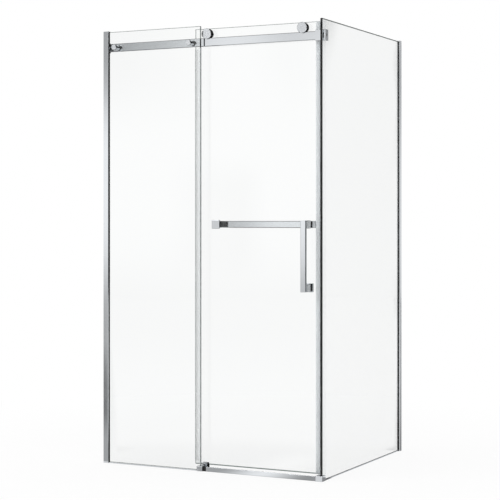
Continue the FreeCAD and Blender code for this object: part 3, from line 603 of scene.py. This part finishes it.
finish = new_finish("studio_floor")
place = place_on_piece(finish)
spot = axes_of(finish, place)
across = spot["X"]
back = spot["Y"]
reach = finish.add("ShaderNodeVectorMath", {"operation": "LENGTH"}, {0: place})["Value"]
in_front = 1.0 - back.ease(*FRONT_EDGE)


def right_of_line(start, slope, edge):
    return (across - start.x - slope * (back - start.y)).ease(*edge)


print("floor radius:", FLOOR_RADIUS)

# %% [markdown]
# In front, the mirrored floor is a middle grey with three lights: a pool before the door, which the sill
# mirrors as a bright sweep, a light that starts at the edge of the corner block, so that the block stands
# out from the end of the sill, and a narrow strip at the foot of the fixed pane.

# %% Lights on the floor in front
FRONT_GREY = 0.41
POOL_CENTRE = 0.220
POOL_REACH = 0.215
POOL_LIGHT = 0.52
POOLS_END = (0.75, 1.2)
CORNER_SLOPE = 0.441
CORNER_EDGE = (-0.004, 0.004)
CORNER_LIGHT = 0.44
SILL_END = (0.34, 0.44)
SILL_SHADE = 0.06
FOOT_END = (-0.08, -0.06)
FOOT_EDGE = (-0.500, -0.485)
FOOT_LIGHT = 0.35

block_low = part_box("bottom_corner_block")[0]
pool = 1.0 - (across - POOL_CENTRE).size().ease(0.0, POOL_REACH)
at_corner = right_of_line(block_low, CORNER_SLOPE, CORNER_EDGE)
pools = POOL_LIGHT * pool + CORNER_LIGHT * at_corner - SILL_SHADE * across.ease(*SILL_END)
near = 1.0 - reach.ease(*POOLS_END)
foot = (1.0 - across.ease(*FOOT_END)) * back.ease(*FOOT_EDGE)
front_lights = FRONT_GREY + near * pools + FOOT_LIGHT * foot
print("corner light starts at", round(block_low.x, 3))

# %% [markdown]
# Further out the floor gets lighter, and then it fades slowly to the level of the studio's wall, so that
# the panes mirror no line where the floor ends. A dark mat lies at the front left, which shades the left
# end of the fixed pane's foot. None of this shows in the left wall channel: what that one mirrors is the
# plain grey with a darker dip halfway out.

# %% Floor further out
LEFT_START = Vector((-0.470, front_low.y))
LEFT_SLOPE = 0.634
LEFT_EDGE = (-0.005, 0.005)
OUTER_LIGHT = 0.40
OUTER_EDGE = (0.95, 1.4)
STUDIO_FADE = 0.20
STUDIO_EDGE = (1.6, 9.0)
MAT_SHADE = 0.38
MAT_SIDE = (-0.68, -0.60)
MAT_CENTRE = -0.72
MAT_EDGE = (0.10, 0.20)
DIP_SHADE = 0.21
DIP_START = (1.2, 2.6)
DIP_END = (4.2, 7.5)

outwards = OUTER_LIGHT * reach.ease(*OUTER_EDGE) - STUDIO_FADE * reach.ease(*STUDIO_EDGE)
mat = (1.0 - across.ease(*MAT_SIDE)) * (1.0 - (back - MAT_CENTRE).size().ease(*MAT_EDGE))
dip = reach.ease(*DIP_START) * (1.0 - reach.ease(*DIP_END))
pane_side = right_of_line(LEFT_START, LEFT_SLOPE, LEFT_EDGE)
in_panes = pane_side * (outwards - MAT_SHADE * mat)
in_left_channel = DIP_SHADE * (1.0 - pane_side) * dip
front_level = front_lights + in_panes - in_left_channel
print("left channel's line starts at", [round(v, 3) for v in LEFT_START])

# %% [markdown]
# Beside and behind the enclosure the mirrored floor is dark, and darkest at the far left. It is light on
# the right, where the return pane mirrors it, up to the line where the back wall channel begins. A light
# strip lies along the return pane's foot and ends before the corner block and before the back channel,
# which both stay dark. Under the enclosure hardly any light is left.

# %% Floor beside and behind
SIDE_GREY = 0.08
INNER_LIGHT = 0.20
INNER_EDGE = (-0.62, -0.56)
SIDE_LIGHT = 0.57
SIDE_EDGE = (0.57, 0.63)
BACK_SLOPE = 0.380
BACK_EDGE = (0.01, 0.03)
STRIP_INNER = (0.515, 0.525)
STRIP_OUTER = (0.570, 0.630)
STRIP_FRONT = (-0.36, -0.33)
STRIP_BACK = (0.43, 0.46)
UNDER_SHADE = 0.85
UNDER_SIDES = (0.44, 0.54)
UNDER_BACK = (0.40, 0.50)

strip_width = across.ease(*STRIP_INNER) * (1.0 - across.ease(*STRIP_OUTER))
strip_length = back.ease(*STRIP_FRONT) * (1.0 - back.ease(*STRIP_BACK))
beside = across.size().ease(*SIDE_EDGE) * right_of_line(return_high, BACK_SLOPE, BACK_EDGE)
side_lights = SIDE_LIGHT * (strip_width * strip_length + beside)
side_level = SIDE_GREY + INNER_LIGHT * across.ease(*INNER_EDGE) + side_lights
behind_front = 1.0 - in_front
under = (1.0 - across.size().ease(*UNDER_SIDES)) * behind_front * (1.0 - back.ease(*UNDER_BACK))
floor_level = (in_front * front_level + behind_front * side_level) * (1.0 - UNDER_SHADE * under)
print("back channel's line starts at", [round(v, 3) for v in return_high.xy])

# %% [markdown]
# For the camera the floor is nearly white by itself. Near the enclosure a tenth of it is an ordinary matt
# surface, which keeps the shadow. Further out it turns into even white, which joins the white of the world
# without a line. A Light Path node tells the looks apart: rays that come straight from the camera or
# through glass see the white, and rays that have met a mirror on their way see the greys.

# %% Floor finish
SPECKLE_SCALE = 60.0
PAPER_TINTS = (grey(0.90), grey(0.93))
NEAR_WHITE = 0.90
WHITE_EDGE = (0.9, 2.4)


def kinds_of_ray(finish):
    path = finish.add("ShaderNodeLightPath", {}, {})
    seen = path["Is Camera Ray"].most(path["Is Transmission Ray"])
    mirrored = path["Glossy Depth"].least(1.0)
    return seen, mirrored


seen, mirrored = kinds_of_ray(finish)
speckle = cloud(finish, place, SPECKLE_SCALE, detail=2.0)
matt = finish.add("ShaderNodeBsdfDiffuse", {}, {"Color": shade_between(finish, speckle, *PAPER_TINTS)})
lit = finish.add("ShaderNodeEmission", {}, {"Color": WHITE, "Strength": 1.0})
greys = shade_between(finish, floor_level, BLACK, WHITE)
dim = finish.add("ShaderNodeEmission", {}, {"Color": greys, "Strength": 1.0})
white_share = (NEAR_WHITE + (1.0 - NEAR_WHITE) * reach.ease(*WHITE_EDGE)) * seen
plain = finish.add("ShaderNodeMixShader", {}, {0: white_share, 1: matt[0], 2: lit[0]})
mixed = finish.add("ShaderNodeMixShader", {}, {0: mirrored, 1: plain[0], 2: dim[0]})
floor.data.materials.append(close_finish(finish, Surface=mixed[0]))
print("floor finish nodes:", len(finish.tree.nodes))

# %% [markdown]
# The world stands for the studio. A mirror sees a bright band at eye level between a dimmer floor and a
# dimmer ceiling, like a lit wall with soft edges, and that is what gives chrome its gradients. A pale
# curtain with folds stands in front, above and below the band, and finer folds cross the band itself. Each
# table runs from 0 to 1: the bands from straight down to straight up, and the folds from left to right. A
# direction runs from -1 to 1, so it is halved and moved up by a half before it is looked up in a table.

# %% Wall and curtain of the studio
STUDIO_BANDS = [
    (0.00, grey(0.30)),
    (0.44, grey(0.34)),
    (0.470, grey(0.45)),
    (0.490, grey(0.92)),
    (0.503, grey(1.00)),
    (0.548, grey(1.00)),
    (0.566, grey(0.94)),
    (0.574, grey(0.62)),
    (0.61, grey(0.36)),
    (0.70, grey(0.13)),
    (0.90, grey(0.10)),
    (1.00, grey(0.32)),
]
EYE_LEVEL_FOLDS = [
    (0.00, grey(1.00)),
    (0.25, grey(1.00)),
    (0.261, grey(0.70)),
    (0.267, grey(0.72)),
    (0.2725, grey(0.60)),
    (0.2785, grey(0.88)),
    (0.281, grey(1.00)),
]
CURTAIN_FOLDS = [
    (0.00, grey(0.44)),
    (0.235, grey(0.44)),
    (0.2535, grey(0.70)),
    (0.2675, grey(1.00)),
    (0.2775, grey(1.00)),
    (0.291, grey(0.75)),
    (0.2975, grey(0.92)),
    (1.00, grey(0.95)),
]

world = bpy.data.worlds.new("studio")
bpy.context.scene.world = world
finish = Finish(world)
heading = axes_of(finish, finish.add("ShaderNodeTexCoord", {}, {})["Generated"])
to_right = heading["X"]
to_back = heading["Y"]
upward = heading["Z"]


def graded(stops, direction):
    return finish.add("ShaderNodeValToRGB", {"stops": stops}, {0: 0.5 + 0.5 * direction})[0]


bands = graded(STUDIO_BANDS, upward)
curtain_folds = graded(CURTAIN_FOLDS, to_right)
eye_level_folds = graded(EYE_LEVEL_FOLDS, to_right)
print("studio bands:", len(STUDIO_BANDS))

# %% [markdown]
# A photographer darkens a mirror with flags, black cloths beside the camera. Dark flags stand at the far
# left, at the right and behind the back wall channel, so that the edges and the right-hand sides of bars
# and caps read dark beside their light fronts. The right flag leans: higher up it reaches further to the
# left. The flag behind the back channel ends where the return pane begins to mirror the backdrop, and it is
# weakest at eye level. Its end is a slope, to the right over to the back, and the divisor is kept over a
# least value so that nothing is divided by zero.

# %% Cloths and flags
BEHIND_EDGE = (-0.1, 0.1)
CURTAIN_EDGE = (0.05, 0.11)
EYE_LEVEL_EDGE = (0.02, 0.05)
RIGHT_FLAG = 0.98
RIGHT_EDGE = (0.404, 0.420)
RIGHT_LEAN = 0.35
LEAN_START = 0.08
LEFT_FLAG = 0.55
LEFT_FLAG_EDGE = (-0.80, -0.62)
BEHIND_SHADE = 0.20
BACK_FLAG_SIDE = (0.20, 0.30)
BACK_FLAG_SLOPE = (0.3795, 0.3825)
LEAST_BACK = 0.3
BACK_FLAG = 0.05
BACK_FLAG_RISE = 0.55
BACK_FLAG_EDGE = (0.02, 0.10)

behind = to_back.ease(*BEHIND_EDGE)
curtain = (1.0 - behind) * upward.size().ease(*CURTAIN_EDGE)
eye_level = (1.0 - behind) * (1.0 - upward.size().ease(*EYE_LEVEL_EDGE))
cloths = (1.0 - curtain * (1.0 - curtain_folds)) * (1.0 - eye_level * (1.0 - eye_level_folds))
right_flag = (to_right + RIGHT_LEAN * (upward - LEAN_START).most(0.0)).ease(*RIGHT_EDGE)
left_flag = 1.0 - to_right.ease(*LEFT_FLAG_EDGE)
flags = (1.0 - RIGHT_FLAG * right_flag) * (1.0 - LEFT_FLAG * left_flag) * (1.0 - BEHIND_SHADE * behind)
slope = to_right / to_back.most(LEAST_BACK)
narrow = to_right.ease(*BACK_FLAG_SIDE) * (1.0 - slope.ease(*BACK_FLAG_SLOPE))
back_flag = behind * narrow * (BACK_FLAG + BACK_FLAG_RISE * upward.size().ease(*BACK_FLAG_EDGE))
shading = flags * cloths * (1.0 - back_flag)
print("flags: left, right and behind the back channel")

# %% [markdown]
# Behind the enclosure the wall is an even white backdrop near eye level, so that the return pane mirrors no
# bands. The camera sees plain white everywhere, also through glass. Matt surfaces get an even light a
# little under full, and the lamps add the rest.

# %% World
BACKDROP_END = (0.15, 0.30)
MATT_LIGHT = grey(0.80)

seen, mirrored = kinds_of_ray(finish)
at_backdrop = behind * (1.0 - upward.size().ease(*BACKDROP_END))
wall = shade_between(finish, at_backdrop, bands, WHITE)
studio = shade_between(finish, shading, BLACK, wall)
even = shade_between(finish, seen, MATT_LIGHT, WHITE)
shown = shade_between(finish, mirrored, even, studio)
background = finish.add("ShaderNodeBackground", {}, {"Color": shown, "Strength": 1.0})
finish.add("ShaderNodeOutputWorld", {}, {"Surface": background[0]})
print("world nodes:", len(finish.tree.nodes))

# %% [markdown]
# Two large soft boxes, one high at the front left and one at the right, give the small parts a lit side and
# a shaded side. They are wide, so their shadows stay soft.

# %% Lamps
AIMED_AT = Vector((0.0, 0.0, 0.9))


def soft_box(name, place, width, power):
    lamp = bpy.data.lights.new(name, "AREA")
    lamp.shape = "SQUARE"
    lamp.size = width
    lamp.energy = power
    box = bpy.data.objects.new(name, lamp)
    box.location = place
    box.rotation_euler = (AIMED_AT - Vector(place)).to_track_quat("-Z", "Y").to_euler()
    box.visible_camera = False
    bpy.context.scene.collection.objects.link(box)
    print(name, "power", power)


soft_box("soft_box_front", place=(-2.6, -3.4, 4.2), width=2.6, power=70.0)
soft_box("soft_box_side", place=(4.2, 0.6, 3.4), width=2.4, power=35.0)

# %% [markdown]
